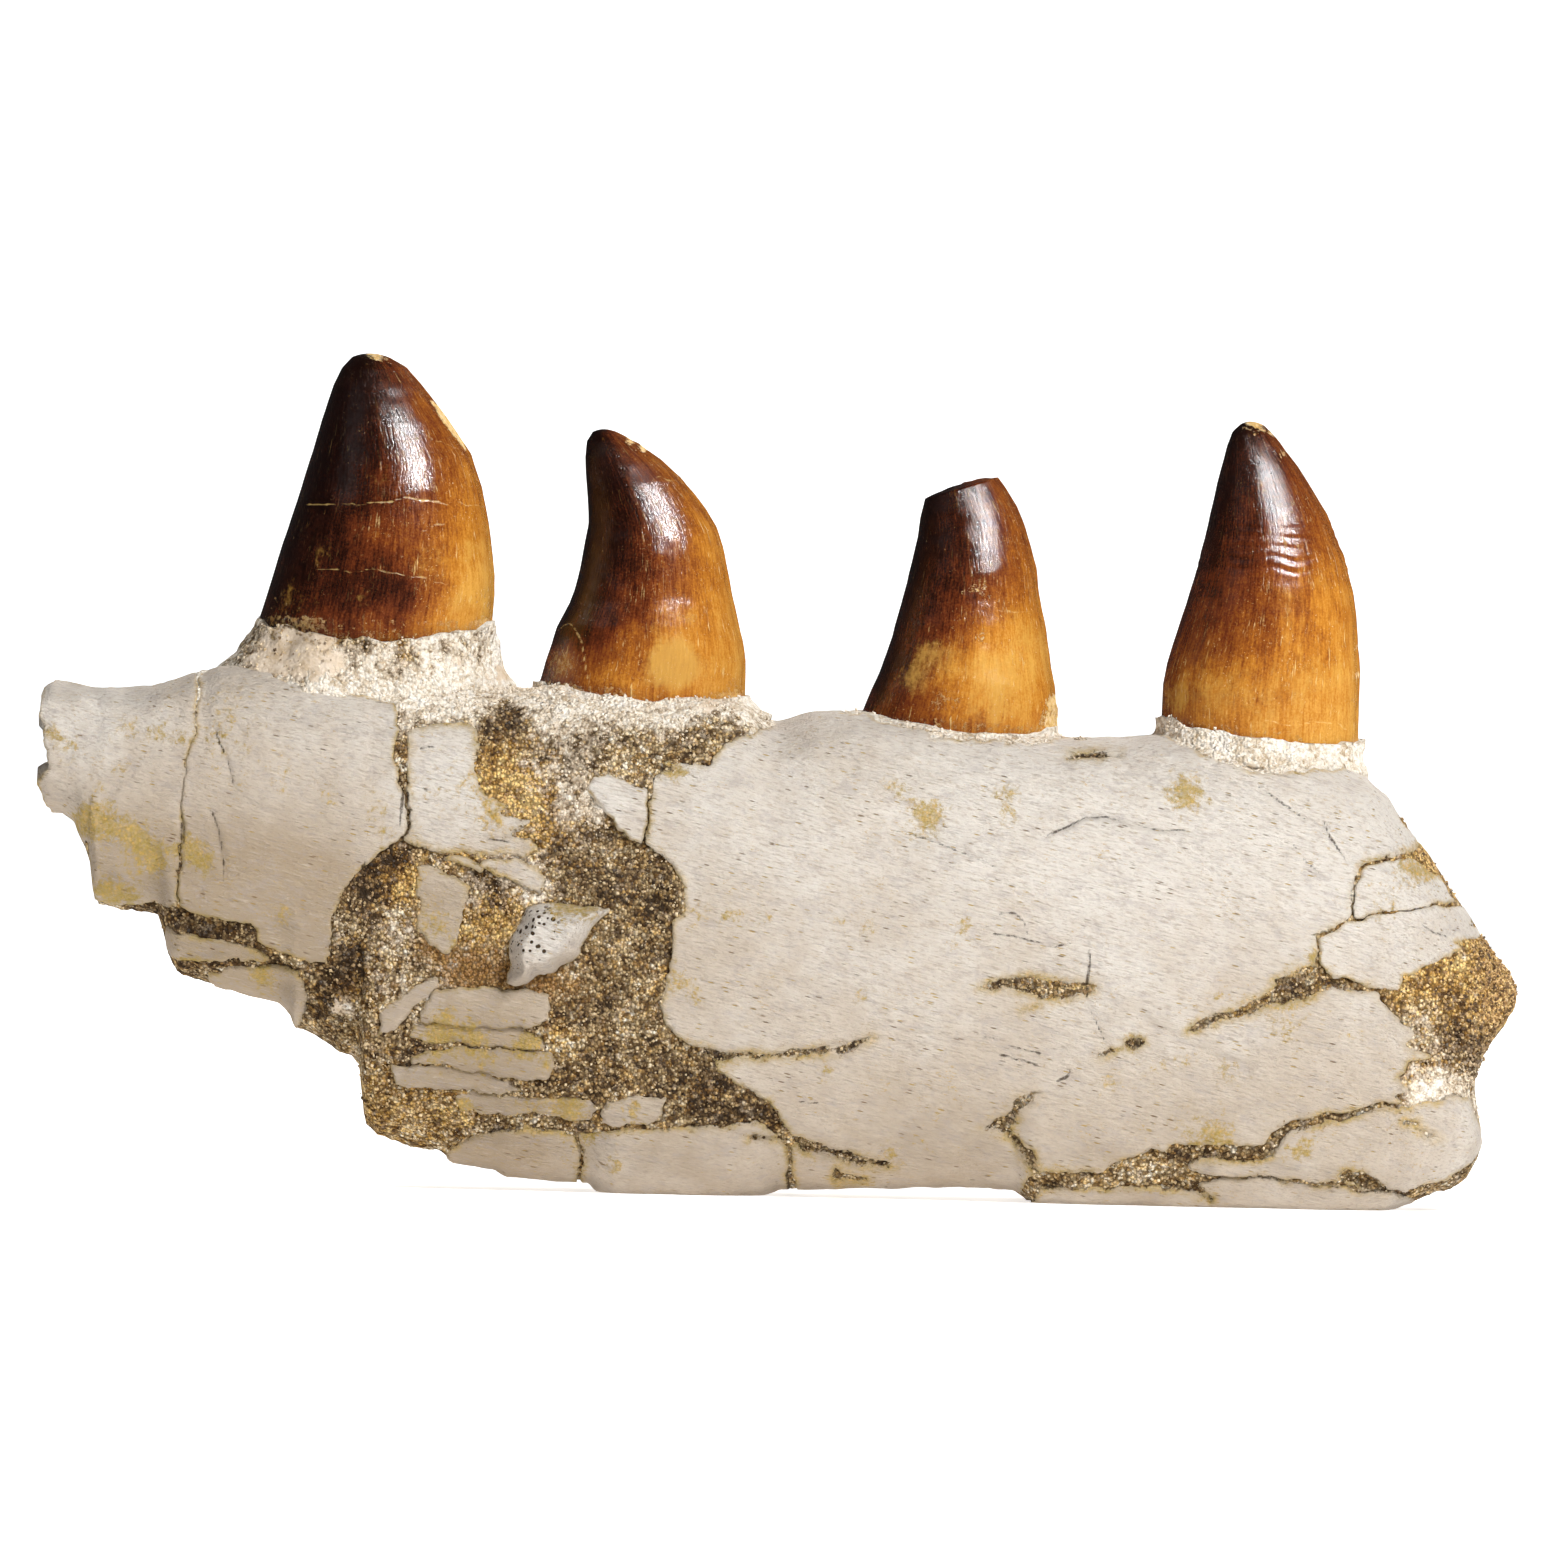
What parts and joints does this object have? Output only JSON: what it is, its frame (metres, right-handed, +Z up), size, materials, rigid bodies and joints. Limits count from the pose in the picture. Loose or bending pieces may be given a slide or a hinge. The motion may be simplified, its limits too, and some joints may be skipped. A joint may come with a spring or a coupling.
{
  "type": "fossil mosasaur teeth in jaw",
  "caption": "Fossil jaw section with worn curved teeth, in cracked bone plates and splinters held together by sandy rock, standing on its flattened lower edge.",
  "frame": {"origin": "on the resting plane, under the middle of the jaw", "axes": "+X along the jaw towards the broken end with the sandy lump, +Y away from the side that is shown, +Z up towards the tooth tips"},
  "size_m": [0.222, 0.0461, 0.1249],
  "materials": {
    "rock": "rough sandy rock, grey, brown and yellow grains",
    "bone": "dry chalky fossil bone with fine pores along the grain",
    "enamel": "polished enamel, near black at one edge to amber at the other"
  },
  "bodies": {
    "root": {"rock_matrix": "rock", "far_left_plate": "bone", "left_plate": "bone", "left_ledge_sliver": "bone", "left_edge_sliver": "bone", "middle_plate": "bone", "middle_lower_plate": "bone", "middle_splinter": "bone", "upper_flake": "bone", "standing_chip": "bone", "crack_flake": "bone", "diagonal_splinter": "bone", "splinter_1": "bone", "splinter_2": "bone", "splinter_3": "bone", "splinter_4": "bone", "splinter_5": "bone", "small_block": "bone", "keel_plate_left": "bone", "keel_plate_middle": "bone", "keel_plate_right": "bone", "main_plate": "bone", "right_plate": "bone", "right_upper_plate": "bone", "right_bottom_plate": "bone", "back_left_plate": "bone", "back_middle_plate": "bone", "back_main_plate": "bone", "back_right_plate": "bone", "back_lower_left_plate": "bone", "back_lower_right_plate": "bone", "tooth_1": "enamel", "tooth_2": "enamel", "tooth_3": "enamel", "tooth_4": "enamel"}
  },
  "joints": []
}
